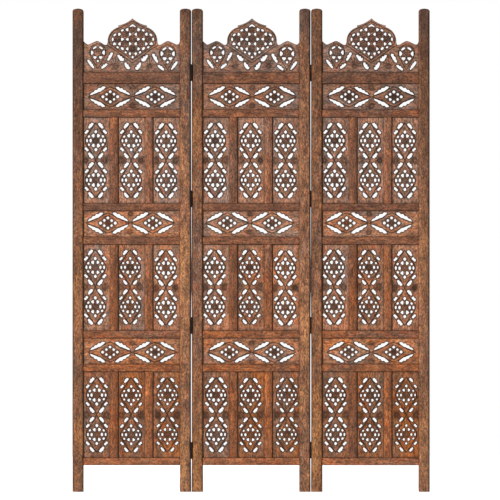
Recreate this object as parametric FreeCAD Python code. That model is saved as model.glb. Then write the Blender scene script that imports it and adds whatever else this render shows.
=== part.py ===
import FreeCAD, Part
import math
import os

# Carved wooden jali screen: three framed panels joined by iron butt hinges.
# Millimetres. +Z is up, the carved front faces -Y, X runs along the flat screen.
# The origin is on the floor, midway along the screen and through its thickness.

# Panels and posts
panel_width = 404.4
panel_height = 1652.0
panel_gap = 4.0
post_width = 37.5
post_thickness = 25.0
post_edge_bevel = 5.0
post_crown_rise = 1.5
post_shoulder_radius = 9.0
post_head_height = 33.0

# Rails, muntins and the openings between them
foot_height = 91.0
rail_height = 25.0
top_rail_height = 38.0
rail_thickness = 20.0
frieze_height = 90.0
muntin_width = 27.0
muntin_thickness = 18.0
boards_per_tier = 3
storeys = 3

# Grooves, tenons and the boards held in them
groove_width = 8.0
groove_depth = 7.0
board_clearance = 0.2
board_end_gap = 0.5
tenon_end_gap = 1.0

# Crest board above the top rail
crest_height = 185.0
crest_pocket_gap = 1.5

# Pierced pattern: pitches as shares of the tier height, the opening width and the crest
star_pitch_share = 0.4576
rosette_pitch_share = 0.466
boss_column_share = 0.0791
boss_row_share = 0.1816
boss_centre_share = 0.6216

# Butt hinges in the gaps between the panels
hinge_height = 55.0
hinge_centre_shares = (0.0858, 0.3443, 0.6064, 0.8674)
leaf_width = 20.0
leaf_thickness = 1.4
knuckle_radius = 3.3
knuckle_sides = 6
knuckle_clearance = 0.4
knuckles_per_hinge = 3
pin_radius = 1.6
pin_clearance = 0.05
pin_end_length = 1.2

# Sizes that follow from these
opening_width = panel_width - 2 * post_width
board_opening = (opening_width - (boards_per_tier - 1) * muntin_width) / boards_per_tier
board_thickness = groove_width - 2 * board_clearance
tongue_length = groove_depth - board_end_gap
tenon_length = groove_depth - tenon_end_gap
panel_pitch = panel_width + panel_gap
crest_base = panel_height - post_head_height - crest_height
storey_height = (crest_base - top_rail_height - foot_height) / storeys
tier_height = storey_height - 2 * rail_height - frieze_height
star_pitch = tier_height * star_pitch_share
rosette_pitch = opening_width * rosette_pitch_share
boss_column_pitch = opening_width * boss_column_share
boss_row_pitch = crest_height * boss_row_share
boss_centre_height = crest_height * boss_centre_share

# Hole outlines of a tall board, as shares of the board opening and the star pitch:
# a slot and a dart about a star's centre, and a chevron about the board's middle
slot_shares = ((0.086, 0.406), (0.160, 0.440), (0.436, 0.178), (0.342, 0.134))
star_dart_shares = ((0.280, 0.0), (0.055, 0.205), (0.122, 0.0), (0.055, -0.205))
chevron_shares = ((0.078, 0.0), (0.405, 0.350), (0.225, 0.0), (0.405, -0.350))

# Hole outlines of a frieze, as shares of the rosette pitch and the frieze height:
# a leaf and a dart about a rosette's centre, and a vee about the frieze's middle
leaf_shares = ((0.450, 0.065), (0.320, 0.290), (0.112, 0.380), (0.245, 0.150))
rosette_dart_shares = ((0.190, 0.0), (0.045, 0.235), (0.088, 0.0), (0.045, -0.235))
vee_shares = ((0.0, 0.085), (0.395, 0.385), (0.0, 0.235), (-0.395, 0.385))

# Outline of the crest's right half, as shares of half the opening and the crest height.
# Each arc is given by its middle point and its end.
crest_outline_shares = (
    ("arc", (0.134, 0.916), (0.300, 0.869)),
    ("line", (0.291, 0.837)),
    ("arc", (0.453, 0.743), (0.516, 0.562)),
    ("line", (0.534, 0.513)),
    ("line", (0.584, 0.513)),
    ("line", (0.648, 0.549)),
    ("line", (0.738, 0.582)),
    ("line", (0.829, 0.550)),
    ("line", (0.920, 0.516)),
    ("line", (1.0, 0.578)),
)
crest_side_share = 0.560

# Holes of the crest's right half, as shares of half the opening and the crest height
crest_slot_shares = (
    ((0.061, 0.054), (0.168, 0.230), (0.344, 0.345), (0.242, 0.170)),
    ((0.402, 0.395), (0.462, 0.400), (0.655, 0.075), (0.545, 0.105)),
    ((0.795, 0.058), (0.910, 0.255), (0.968, 0.250), (0.880, 0.085)),
)
crest_rosette_shares = (0.745, 0.376)
crest_dart_shares = ((0.150, 0.0), (0.030, 0.115), (0.072, 0.0), (0.030, -0.115))

# Triangular holes among the crest's bosses, right of the middle boss: how many thirds
# of a column pitch, how many halves of a row pitch, and 1 or -1 for right or left pointing
boss_hole_places = (
    (2, 0, 1), (4, 0, -1), (1, 1, -1), (1, -1, -1), (2, 2, 1), (2, -2, 1), (5, 1, 1), (5, -1, 1),
)
boss_hole_shares = ((0.326, 0.0), (-0.163, 0.2165), (-0.163, -0.2165))

# The hole under the crest's apex, as shares of half the opening and the crest height
arrow_shares = ((-0.055, 0.8265), (0.055, 0.8265), (0.0, 0.875))


def solid_box(low, high):
    """Make a box from its lowest and highest corners."""
    corner = FreeCAD.Vector(*low)
    size = [top - bottom for bottom, top in zip(low, high)]
    return Part.makeBox(size[0], size[1], size[2], corner)


def polygon(points):
    """Close a flat outline, given as x and z, in the plane y = 0."""
    vectors = [FreeCAD.Vector(x, 0, z) for x, z in points]
    return Part.makePolygon(vectors + vectors[:1])


def pierced_board(outline, holes, thickness):
    """Extrude an outline with its holes, half to each side of the plane y = 0."""
    face = Part.makeFace([outline] + holes, "Part::FaceMakerBullseye")
    face.translate(FreeCAD.Vector(0, -thickness / 2, 0))
    return face.extrude(FreeCAD.Vector(0, thickness, 0))


def rectangle_points(left, right, bottom, top):
    """List the corners of an upright rectangle."""
    return [(left, bottom), (right, bottom), (right, top), (left, top)]


def scaled_hole(shares, width, height, centre, side=1, level=1):
    """Draw a hole from its shares, mirrored by side and level about its centre."""
    return polygon([
        (centre[0] + side * width * x, centre[1] + level * height * z) for x, z in shares
    ])


def mirrored_holes(shares, width, height, centre, sides=(-1, 1), levels=(1,)):
    """Draw a hole on the given sides and levels of a centre."""
    return [
        scaled_hole(shares, width, height, centre, side, level)
        for side in sides for level in levels
    ]


def panel_levels():
    """Give the rails and the openings between them, bottom to top, as lists of heights."""
    rails = []
    tiers = []
    friezes = []
    height = foot_height
    for storey in range(storeys):
        rails.append((height, height + rail_height))
        height += rail_height
        tiers.append((height, height + tier_height))
        height += tier_height
        rails.append((height, height + rail_height))
        height += rail_height
        friezes.append((height, height + frieze_height))
        height += frieze_height
    rails.append((height, height + top_rail_height))
    return rails, tiers, friezes


def post_outline():
    """Draw a post from the front: a square foot, rounded shoulders, a slightly crowned top."""
    half_width = post_width / 2
    inset = half_width - post_shoulder_radius
    crown_start = panel_height - post_crown_rise
    side_end = crown_start - post_shoulder_radius
    diagonal = post_shoulder_radius * math.sqrt(1 / 2)

    def place(x, z):
        return FreeCAD.Vector(x, -post_thickness / 2, z)

    foot = Part.makeLine(place(-half_width, 0), place(half_width, 0))
    crown = Part.Arc(place(inset, crown_start), place(0, panel_height),
                     place(-inset, crown_start)).toShape()
    halves = []
    for side in (1, -1):
        halves.append([
            Part.makeLine(place(side * half_width, 0), place(side * half_width, side_end)),
            Part.Arc(place(side * half_width, side_end),
                     place(side * (inset + diagonal), side_end + diagonal),
                     place(side * inset, crown_start)).toShape(),
        ])
    right, left = halves
    return Part.Wire([foot] + right + [crown] + left[::-1])


def make_post(side, pocket_top):
    """Make a post with bevelled front edges, a rounded top and a stopped inner groove.

    side is +1 where the panel lies towards +X from the post."""
    half_width = post_width / 2
    half_depth = post_thickness / 2
    blank = Part.makeBox(
        post_width, post_thickness, panel_height, FreeCAD.Vector(-half_width, -half_depth, 0)
    )
    upright = [
        edge for edge in blank.Edges
        if abs(edge.Vertexes[0].Z - edge.Vertexes[1].Z) > post_thickness
    ]
    front = [edge for edge in upright if edge.Vertexes[0].Y < 0]
    blank = blank.makeChamfer(post_edge_bevel, front)
    crowned = Part.Face(post_outline()).extrude(FreeCAD.Vector(0, post_thickness, 0))
    inner_face = side * half_width
    pocket_floor = side * (half_width - groove_depth)
    pocket = solid_box(
        (min(inner_face, pocket_floor), -groove_width / 2, foot_height),
        (max(inner_face, pocket_floor), groove_width / 2, pocket_top),
    )
    return blank.common(crowned).cut(pocket)


def make_rail(bottom, top, lower_groove):
    """Make a rail with a groove above, usually one below, and a stub tenon at each end."""
    half_length = opening_width / 2
    half_depth = rail_thickness / 2
    half_groove = groove_width / 2
    rail = solid_box((-half_length, -half_depth, bottom), (half_length, half_depth, top))
    grooves = [solid_box((-half_length, -half_groove, top - groove_depth),
                         (half_length, half_groove, top))]
    tenon_bottom = bottom
    if lower_groove:
        grooves.append(solid_box((-half_length, -half_groove, bottom),
                                 (half_length, half_groove, bottom + groove_depth)))
        tenon_bottom = bottom + groove_depth
    tenon_reach = half_length + tenon_length
    tenon = solid_box((-tenon_reach, -half_groove, tenon_bottom),
                      (tenon_reach, half_groove, top - groove_depth))
    return rail.cut(grooves).fuse(tenon).removeSplitter()


def make_muntin(bottom, top):
    """Make an upright between two boards: a groove each side, a stub tenon at each end."""
    half_width = muntin_width / 2
    half_depth = muntin_thickness / 2
    half_groove = groove_width / 2
    web = half_width - groove_depth
    bar = solid_box((-half_width, -half_depth, bottom), (half_width, half_depth, top))
    grooves = [
        solid_box((-half_width, -half_groove, bottom), (-web, half_groove, top)),
        solid_box((web, -half_groove, bottom), (half_width, half_groove, top)),
    ]
    tenon = solid_box((-web, -half_groove, bottom - tenon_length),
                      (web, half_groove, top + tenon_length))
    return bar.cut(grooves).fuse(tenon).removeSplitter()


def make_tall_board(bottom, top):
    """Make a tall pierced board: two stars in diamonds of slots, one above the other."""
    reach = board_opening / 2 + tongue_length
    outline = polygon(rectangle_points(-reach, reach, bottom - groove_depth, top + tongue_length))
    middle = (bottom + top) / 2
    holes = mirrored_holes(chevron_shares, board_opening, star_pitch, (0, middle))
    for level in (-1, 1):
        centre = (0, middle + level * star_pitch / 2)
        holes += mirrored_holes(slot_shares, board_opening, star_pitch, centre, levels=(level,))
        holes += mirrored_holes(star_dart_shares, board_opening, star_pitch, centre)
    return pierced_board(outline, holes, board_thickness)


def make_frieze(bottom, top):
    """Make a frieze board: two rosettes, each in a long diamond of leaves."""
    reach = opening_width / 2 + tongue_length
    outline = polygon(rectangle_points(-reach, reach, bottom - groove_depth, top + tongue_length))
    middle = (bottom + top) / 2
    holes = mirrored_holes(vee_shares, rosette_pitch, frieze_height, (0, middle), (1,), (-1, 1))
    for side in (-1, 1):
        centre = (side * rosette_pitch / 2, middle)
        holes += mirrored_holes(leaf_shares, rosette_pitch, frieze_height, centre,
                                (side,), (-1, 1))
        holes += mirrored_holes(rosette_dart_shares, rosette_pitch, frieze_height, centre)
    return pierced_board(outline, holes, board_thickness)


def crest_edges(side, base):
    """Draw the crest's curved top from its apex to one post; side is -1 or +1."""
    half_opening = opening_width / 2

    def place(share):
        return FreeCAD.Vector(side * half_opening * share[0], 0, base + crest_height * share[1])

    edges = []
    start = place((0, 1))
    for kind, *points in crest_outline_shares:
        ends = [place(point) for point in points]
        if kind == "arc":
            edges.append(Part.Arc(start, ends[0], ends[1]).toShape())
        else:
            edges.append(Part.makeLine(start, ends[0]))
        start = ends[-1]
    tongue_top = FreeCAD.Vector(start.x, 0, base + crest_height * crest_side_share)
    tongue_end = FreeCAD.Vector(side * (half_opening + tongue_length), 0, tongue_top.z)
    foot = FreeCAD.Vector(tongue_end.x, 0, base - groove_depth)
    for end in (tongue_top, tongue_end, foot):
        edges.append(Part.makeLine(start, end))
        start = end
    return edges, foot


def boss_hole(column, row, direction, base):
    """Draw a triangular hole between three bosses of the crest."""
    centre = (column * boss_column_pitch / 3,
              base + boss_centre_height + row * boss_row_pitch / 2)
    return scaled_hole(boss_hole_shares, boss_column_pitch, boss_row_pitch, centre, direction)


def make_crest(base):
    """Make the crest: an ogee dome of bosses and holes between two small arches."""
    right_edges, right_foot = crest_edges(1, base)
    left_edges, left_foot = crest_edges(-1, base)
    bottom = Part.makeLine(right_foot, left_foot)
    outline = Part.Wire(Part.__sortEdges__(right_edges + [bottom] + left_edges))
    half_opening = opening_width / 2
    holes = []
    for shares in crest_slot_shares:
        holes += mirrored_holes(shares, half_opening, crest_height, (0, base))
    for side in (-1, 1):
        rosette = (side * half_opening * crest_rosette_shares[0],
                   base + crest_height * crest_rosette_shares[1])
        holes += mirrored_holes(crest_dart_shares, half_opening, crest_height, rosette)
        for column, row, direction in boss_hole_places:
            holes.append(boss_hole(side * column, row, side * direction, base))
    holes.append(scaled_hole(arrow_shares, half_opening, crest_height, (0, base)))
    return pierced_board(outline, holes, board_thickness)


def ring_prism(radius, bore, bottom, top):
    """Make one hinge knuckle: a prism of flat sides about a bore of flat sides."""
    wires = []
    for inradius in (radius * math.cos(math.pi / knuckle_sides), bore):
        corner_radius = inradius / math.cos(math.pi / knuckle_sides)
        corners = []
        for number in range(knuckle_sides):
            angle = 2 * math.pi * (number + 1 / 2) / knuckle_sides
            corners.append(FreeCAD.Vector(corner_radius * math.cos(angle),
                                          corner_radius * math.sin(angle), bottom))
        wires.append(Part.makePolygon(corners + corners[:1]))
    ring = Part.makeFace(wires, "Part::FaceMakerBullseye")
    return ring.extrude(FreeCAD.Vector(0, 0, top - bottom))


def knuckle_spans(centre):
    """Divide a hinge's height into its knuckles, with a clearance between them."""
    length = (hinge_height + knuckle_clearance) / knuckles_per_hinge
    low = centre - hinge_height / 2
    return [
        (low + number * length, low + (number + 1) * length - knuckle_clearance)
        for number in range(knuckles_per_hinge)
    ]


def make_leaf(centre, side, front, own_knuckles):
    """Make a hinge leaf with its knuckles, about an axis at x = 0, y = 0.

    The leaf lies on the post at side (-1 or +1) and runs back from the axis:
    towards +Y where front is 1, towards -Y where front is -1."""
    outer = panel_gap / 2
    inner = outer - leaf_thickness
    near = knuckle_radius + knuckle_clearance
    low = centre - hinge_height / 2
    left, right = sorted((side * inner, side * outer))
    y_ends = sorted((front * near, front * (near + leaf_width)))
    leaf = solid_box((left, y_ends[0], low), (right, y_ends[1], low + hinge_height))
    bore = pin_radius + pin_clearance
    neck = (bore + knuckle_radius) / 2
    pieces = []
    for number, (bottom, top) in enumerate(knuckle_spans(centre)):
        if number in own_knuckles:
            pieces.append(ring_prism(knuckle_radius, bore, bottom, top))
            neck_ends = sorted((front * neck, front * near))
            pieces.append(solid_box((left, neck_ends[0], bottom), (right, neck_ends[1], top)))
    return leaf.fuse(pieces).removeSplitter()


def make_pin(centre):
    """Make a hinge pin on the axis x = 0, y = 0."""
    length = hinge_height + 2 * pin_end_length
    return Part.makeCylinder(pin_radius, length, FreeCAD.Vector(0, 0, centre - length / 2))


def make_panel(name, centre_x, nodes):
    """Make the wooden pieces of one panel and add them to the nodes."""
    rails, tiers, friezes = panel_levels()
    pocket_top = crest_base + crest_height * crest_side_share + crest_pocket_gap
    post_x = (panel_width - post_width) / 2
    for side, word in ((-1, "left"), (1, "right")):
        post = make_post(-side, pocket_top)
        post.translate(FreeCAD.Vector(side * post_x, 0, 0))
        nodes[f"{name}_panel_{word}_post"] = [post]
    for number, (bottom, top) in enumerate(rails, start=1):
        nodes[f"{name}_panel_rail_{number}"] = [make_rail(bottom, top, number > 1)]
    for number, (bottom, top) in enumerate(friezes, start=1):
        nodes[f"{name}_panel_frieze_{number}"] = [make_frieze(bottom, top)]
    muntins = []
    bay_pitch = board_opening + muntin_width
    for number, (bottom, top) in enumerate(tiers, start=1):
        boards = []
        for bay in range(boards_per_tier):
            bay_x = (bay - (boards_per_tier - 1) / 2) * bay_pitch
            board = make_tall_board(bottom, top)
            board.translate(FreeCAD.Vector(bay_x, 0, 0))
            boards.append(board)
            if bay > 0:
                muntin = make_muntin(bottom, top)
                muntin.translate(FreeCAD.Vector(bay_x - bay_pitch / 2, 0, 0))
                muntins.append(muntin)
        nodes[f"{name}_panel_boards_{number}"] = boards
    nodes[f"{name}_panel_muntins"] = muntins
    nodes[f"{name}_panel_crest"] = [make_crest(crest_base)]
    for node, solids in nodes.items():
        if node.startswith(f"{name}_panel_"):
            for solid in solids:
                solid.translate(FreeCAD.Vector(centre_x, 0, 0))


def make_hinges(name, side, front, nodes):
    """Make the hinges in one gap; front is 1 where the knuckles stand out in front."""
    axis = FreeCAD.Vector(
        side * panel_pitch / 2, -front * (post_thickness / 2 + knuckle_radius), 0
    )
    last = knuckles_per_hinge - 1
    heights = [panel_height * share for share in hinge_centre_shares]
    centre_leaves = [make_leaf(z, -side, front, (0, last)) for z in heights]
    outer_leaves = [make_leaf(z, side, front, range(1, last)) for z in heights]
    pins = [make_pin(z) for z in heights]
    for solid in centre_leaves + outer_leaves + pins:
        solid.translate(axis)
    nodes[f"{name}_hinge_centre_leaves"] = centre_leaves
    nodes[f"{name}_hinge_outer_leaves"] = outer_leaves
    nodes[f"{name}_hinge_pins"] = pins


def main():
    """Make every piece and write one file for each node."""
    nodes = {}
    make_panel("left", -panel_pitch, nodes)
    make_panel("centre", 0, nodes)
    make_panel("right", panel_pitch, nodes)
    make_hinges("left", -1, 1, nodes)
    make_hinges("right", 1, -1, nodes)
    os.makedirs("parts", exist_ok=True)
    for node, solids in nodes.items():
        shape = solids[0] if len(solids) == 1 else Part.makeCompound(solids)
        shape.exportStep(f"parts/{node}.step")


main()
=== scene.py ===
import cmath
import math
import random

import bmesh
import bpy
import numpy as np
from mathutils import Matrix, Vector
from mathutils.geometry import delaunay_2d_cdt


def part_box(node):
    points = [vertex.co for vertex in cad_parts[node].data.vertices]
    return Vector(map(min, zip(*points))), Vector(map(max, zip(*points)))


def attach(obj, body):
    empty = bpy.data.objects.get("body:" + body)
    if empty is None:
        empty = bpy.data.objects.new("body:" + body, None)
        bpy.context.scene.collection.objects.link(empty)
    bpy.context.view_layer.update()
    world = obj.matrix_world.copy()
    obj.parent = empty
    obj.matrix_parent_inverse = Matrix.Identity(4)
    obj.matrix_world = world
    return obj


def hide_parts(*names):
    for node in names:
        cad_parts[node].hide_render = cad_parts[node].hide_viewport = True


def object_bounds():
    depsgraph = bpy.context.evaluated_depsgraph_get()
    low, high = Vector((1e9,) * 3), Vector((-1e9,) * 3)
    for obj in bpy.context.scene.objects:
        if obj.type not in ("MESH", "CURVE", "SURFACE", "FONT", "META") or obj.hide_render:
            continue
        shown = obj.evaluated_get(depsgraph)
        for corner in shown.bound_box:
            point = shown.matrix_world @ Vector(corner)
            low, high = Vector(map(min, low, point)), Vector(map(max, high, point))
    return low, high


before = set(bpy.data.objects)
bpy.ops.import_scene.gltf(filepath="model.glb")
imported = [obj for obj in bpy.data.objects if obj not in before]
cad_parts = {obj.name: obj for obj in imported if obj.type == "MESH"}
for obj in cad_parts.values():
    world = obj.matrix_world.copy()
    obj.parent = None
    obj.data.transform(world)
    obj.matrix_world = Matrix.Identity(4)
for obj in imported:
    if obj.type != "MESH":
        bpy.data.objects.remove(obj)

# Looks for a carved wooden jali screen: three framed panels of pierced boards, joined by
# iron hinges. The carved patterns are drawn flat in millimetres, about their own centres.
cad_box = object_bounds()

MM = 0.001
panels = ("left", "centre", "right")
storeys = 3
bays = 3

# The photograph is a square seen straight from the front
photo_pixels = 500
metres_per_pixel = 0.003416
photo_centre_x = -0.0038
photo_centre_z = 0.8268
camera_distance = 14.0
sensor_width = 36.0

# Studio light
fill_strength = 0.27
key_place = (-4.6, -8.8, 4.2)
key_target = (0.0, 0.0, 0.8)
key_size = 2.2
key_power = 900.0
floor_reach = 2.4
floor_gap = 0.0005
floor_glow = 0.9

# Carving: how far a hole's edge is rounded, how far its dark stain and painted shade spread from
# it, and how dark the grooves are painted with stain and painted shade
edge_width = 1.4
edge_depth = 0.9
stain_and_shade_width = 5.3
groove_stain_and_shade = 1.0
heart_stain_share = 0.75
shade_fade = 1.6
shade_rings = (1.0, 0.7, 0.4)
boss_stain_range = (0.6, 1.15)
flower_spread = 0.4
corner_ray_stain_and_shade = 0.3
ground_depth = 0.4
merge_distance = 0.02
hand_wobble = 0.35
hole_sizes = (0.95, 1.06)
lobe_share = 0.36
inner_lobe_share = 0.08
star_pitch_share = 0.4576
rosette_pitch_share = 0.466
heart_share = 0.36
petal_depth = 1.3

# Whether each quarter of a pattern is mirrored in x and in z
quarters = [(x, z) for x in (False, True) for z in (False, True)]

# Painted darkening where a piece meets its neighbours: dark joints, with painted shade that is
# strongest on the sides turned from the light and where the frame shades the boards, and a wide
# painted shade along the boards' margins: how dark it is and how far it spreads, on the frame's
# pieces and on the boards inside it
upright_stain_and_shade = {"left": (0.15, 2.6), "right": (0.98, 4.8)}
rail_stain_and_shade = {"lower": (0.85, 2.6), "upper": (0.5, 2.6)}
board_edge_stain_and_shade = {"left": (1.0, 4.0), "right": (0.5, 6.0), "lower": (0.65, 2.6),
               "upper": (0.9, 3.0)}
margin_shade = 0.34
margin_reach = 12.0

# The posts beside a joint bow towards each other: how far, in millimetres, at heights in metres
bow_heights = (0.03, 0.12, 0.35, 0.5, 0.58, 0.66, 0.69, 0.785, 0.81, 0.95, 1.1, 1.25, 1.4, 1.6)
bow_reaches = (0.95, 0.6, 0.3, 0.45, 0.75, 1.3, 1.8, 1.8, 1.55, 1.15, 1.1, 0.8, 0.6, 0.95)

# Where each carved pattern lies from the middle of its opening, and how large its holes
# are cut: (x, z, size), from the bottom tier up and from the left bay to the right. The
# crest's parts differ on its right, 1, and its left, -1
board_fits = (
    (-0.7, -0.5, 0.91), (-1.9, -1.4, 0.82), (3.4, -0.3, 0.75),
    (-5.9, 1.5, 0.94), (-5.3, 1.4, 0.83), (-1.9, -1.2, 0.97),
    (-4.0, 0.0, 0.97), (-1.7, -0.3, 0.92), (-1.0, -1.2, 0.95),
)
frieze_fits = ((2.6, -3.4, 0.95), (-4.7, 3.1, 1.0), (3.3, -0.3, 0.98))
crest_fit = (3.0, 0.0, 0.93)
slot_tapers = {1: 0.3, -1: 0.05}
crest_fits = {
    "outer": {1: (0.9, -4.0, 0.94), -1: (-0.9, 1.7, 0.9)},
    "inner": {1: (0.0, -0.9, 0.97), -1: (0.5, 0.0, 0.97)},
    "arch": {1: (-0.7, -4.6, 1.05), -1: (1.7, -0.9, 0.96)},
    "dome": {1: (0.9, -0.9, 0.955), -1: (0.9, -0.9, 0.955)},
}

# How rich and how light the finish of each piece is, in the same order, and for an upright
# how much lighter its right side is than its left; the right posts' darker right side is painted
# shade
post_looks = {"left": (1.12, 0.91, 0.0), "right": (1.07, 1.01, -0.25)}
rail_looks = ((1.12, 1.1), (1.14, 1.0), (1.14, 1.08), (1.08, 0.94), (1.05, 0.75), (1.08, 0.97),
              (1.05, 0.75))
muntin_looks = ((1.15, 0.97, 0.1), (1.15, 1.26, 0.1), (1.14, 1.02, 0.0), (1.14, 1.35, 0.2),
                (1.1, 1.14, -0.1), (1.07, 1.48, 0.1))
board_looks = (
    (1.1, 0.81), (1.2, 0.81), (1.2, 0.85),
    (1.05, 1.16), (1.1, 1.02), (1.1, 1.26),
    (1.0, 1.13), (1.0, 1.23), (1.0, 1.18),
)
frieze_looks = ((1.15, 1.2), (1.1, 1.3), (1.05, 0.95))
crest_look = (0.98, 1.03)

# The frame's pieces: the grain's way, how far the edges are softened, their darkened sides (dark
# joints, end grain and painted shade, also near the muntins' ends) and wood
kinds = {
    "left_post": {"along": "z", "edge": 3.4, "wood": "post_wood",
                  "sides": {"left": (0.75, 5.6), "right": (0.9, 4.4), "upper": (0.6, 10.0)}},
    "right_post": {"along": "z", "edge": 3.4, "wood": "post_wood",
                   "sides": {"left": (0.15, 2.6), "right": (1.0, 7.4), "upper": (0.6, 10.0)}},
    "rail": {"along": "x", "edge": 1.6, "sides": rail_stain_and_shade, "wood": "rail_wood"},
    "muntin": {"along": "z", "edge": 3.0,
               "sides": dict(upright_stain_and_shade, lower=(0.36, 42.0), upper=(0.22, 34.0)),
               "wood": "rail_wood"},
}
leaf_edge = 0.35
weld_distance = 1e-6
flat_angle = math.radians(1)
sharp_angle = math.radians(30)
smooth_angle = math.radians(32)

# How far away in the timber, in metres, a piece may have been cut, and the seeds of chance
timber_reach = 3.0
board_seed = 0
frieze_seed = 20
crest_seed = 30
piece_seed = 7

# Hinges, in millimetres
knuckles = 3
knuckle_gap = 0.4
knuckle_sides = 24
pin_slack = 0.05
screw_radius = 3.0
screw_rise = 0.25
screw_slot = 0.8
screw_share = 0.3

slot_overrun = 1.1

# Flat shapes

def blob(centre, length, width, turn=0.0, power=2.3, taper=0.0, bend=0.0, bump=0.0, count=14,
         lobes=0):
    """Draw a smooth hole: an oval, more square as power grows, tapered, bent and turned.

    A bump widens one side a little before the middle; lobes make the long sides wavy, one
    of them more than the other."""
    angle = math.radians(turn)
    loop = []
    for number in range(count):
        around = 2 * math.pi * number / count
        cosine = math.cos(around)
        sine = math.sin(around)
        along = length / 2 * math.copysign(abs(cosine) ** (2 / power), cosine)
        across = width / 2 * math.copysign(abs(sine) ** (2 / power), sine)
        share = lobe_share if sine > 0 else inner_lobe_share
        wave = 1 - share * math.cos(math.pi * lobes * (1 + cosine)) if lobes else 1.0
        across = across * wave * (1 + taper * cosine) + bend * (1 - cosine * cosine)
        if sine < 0:
            across -= bump * math.exp(-((cosine + 0.35) / 0.28) ** 2)
        loop.append((centre[0] + along * math.cos(angle) - across * math.sin(angle),
                     centre[1] + along * math.sin(angle) + across * math.cos(angle)))
    return np.array(loop)


def wedge(centre, width, height, turn):
    """Draw a rounded three-cornered hole with one corner turned to an angle."""
    loop = []
    count = 15
    for number in range(count):
        around = 2 * math.pi * number / count
        radius = 0.5 * (1 + 0.17 * math.cos(3 * (around - math.radians(turn))))
        loop.append((centre[0] + width * radius * math.cos(around),
                     centre[1] + height * radius * math.sin(around)))
    return np.array(loop)


def arc(start, middle, end, count):
    """List points along the circle through three points, without the first one."""
    start, middle, end = [complex(*point) for point in (start, middle, end)]
    share = (end - start) / (middle - start)
    centre = start + (middle - start) * (share - abs(share) ** 2) / (2j * share.imag)
    via, sweep = [cmath.phase((point - centre) / (start - centre)) % (2 * math.pi)
                  for point in (middle, end)]
    if via > sweep:
        sweep -= 2 * math.pi
    points = [centre + (start - centre) * cmath.exp(1j * sweep * step / count)
              for step in range(1, count + 1)]
    return [(point.real, point.imag) for point in points]


def smooth(points, count=3):
    """Round an open line off by a curve that passes through its points."""
    points = np.array(points, float)
    ends = np.vstack([2 * points[0] - points[1], points, 2 * points[-1] - points[-2]])
    line = [points[0]]
    for a, b, c, d in zip(ends, ends[1:], ends[2:], ends[3:]):
        for step in range(1, count + 1):
            t = step / count
            line.append(0.5 * (2 * b + (c - a) * t + (2 * a - 5 * b + 4 * c - d) * t * t
                               + (3 * b - a - 3 * c + d) * t ** 3))
    return np.array(line)


def circle(centre, radius, count):
    """Draw a circle."""
    return blob(centre, 2 * radius, 2 * radius, power=2.0, count=count)


def direction(angle):
    """Give a step of length one towards an angle in degrees."""
    return np.array([math.cos(math.radians(angle)), math.sin(math.radians(angle))])


def mirrored(shape, x=True, z=False):
    """Mirror a shape in x, in z or in both about the pattern's centre."""
    return np.array([-1.0 if x else 1.0, -1.0 if z else 1.0]) * shape


def groove(line, width, depth, closed=False, stain=groove_stain_and_shade):
    """Describe a V-shaped cut along a line, painted dark with stain and painted shade; one without
    depth is only a painted dark line.
    """
    return {"line": np.array(line, float), "width": width, "depth": depth, "closed": closed,
            "stain": stain}


def flower(centre, radius, petals, stain, turn=0.0, line_stain=0.8, petal_gap=1.5,
           own_stain=False):
    """Draw a carved flower on a stained ground: its rims, the cuts between petals, its heart."""
    centre = np.array(centre)
    heart = radius * heart_share
    cuts = [
        groove(circle(centre, radius, 24), 1.9, petal_depth, True, line_stain),
        groove(circle(centre, heart, 12), 1.3, petal_depth * 0.8, True, line_stain),
    ]
    for number in range(petals):
        way = direction(turn + 360 * number / petals)
        line = [centre + way * heart, centre + way * radius]
        cuts.append(groove(line, petal_gap, petal_depth, stain=line_stain))
    cuts[0].update(ground=(centre, radius, heart, stain), own_stain=own_stain)
    return cuts


def shade(centre, reach, amount):
    """Darken an oval low place of the carving, with polish left there and painted shade."""
    rings = [blob(centre, 2 * share * reach[0], 2 * share * reach[1], power=2.0, count=20)
             for share in shade_rings]
    cuts = [groove(ring, 0.0, 0.0, True, 0.0) for ring in rings]
    cuts[0]["shade"] = (np.array(centre), reach, amount)
    return cuts


def rays(centre, inner, outer, toward, turns, width=1.5, depth=1.2, stain=groove_stain_and_shade):
    """Draw short cuts that spread from a centre, each at a turn from where they point."""
    ways = [direction(toward + turn) for turn in turns]
    return [groove([centre + way * inner, centre + way * outer], width, depth, stain=stain)
            for way in ways]


def corner_rays(half_width, half_height, inner, turns):
    """Draw the shallow cuts that spread from a board's corners towards its middle."""
    cuts = []
    for side in (-1, 1):
        for level in (-1, 1):
            toward = math.degrees(math.atan2(-level, -side))
            cuts += rays((side * half_width, level * half_height), inner, 13.0, toward, turns,
                         1.3, 0.8, corner_ray_stain_and_shade)
    return cuts


# Carved patterns, drawn about the middle of the opening that the board fills

def moved(holes, cuts, shift):
    """Shift holes and cuts, with the stained places inside the cuts."""
    moved_cuts = []
    for cut in cuts:
        cut = dict(cut, line=cut["line"] + shift)
        for key in ("ground", "shade"):
            if key in cut:
                cut[key] = (cut[key][0] + shift,) + cut[key][1:]
        moved_cuts.append(cut)
    return [hole + shift for hole in holes], moved_cuts


def placed(holes, cuts, fit, hand):
    """Lay a pattern where its board has it, each hole a little off as hand work is."""
    shift = np.array(fit[:2])
    placed_holes = []
    for hole in holes:
        middle = hole.mean(axis=0)
        wobble = np.array([hand.uniform(-hand_wobble, hand_wobble) for _ in range(2)])
        size = fit[2] * hand.uniform(*hole_sizes)
        placed_holes.append(shift + middle + wobble + (hole - middle) * size)
    cuts = moved([], cuts, shift)[1]
    for cut in cuts:
        if "ground" in cut:
            stain = cut["ground"][3] * hand.uniform(*boss_stain_range)
            cut["ground"] = cut["ground"][:3] + (stain,)
    return placed_holes, cuts


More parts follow.
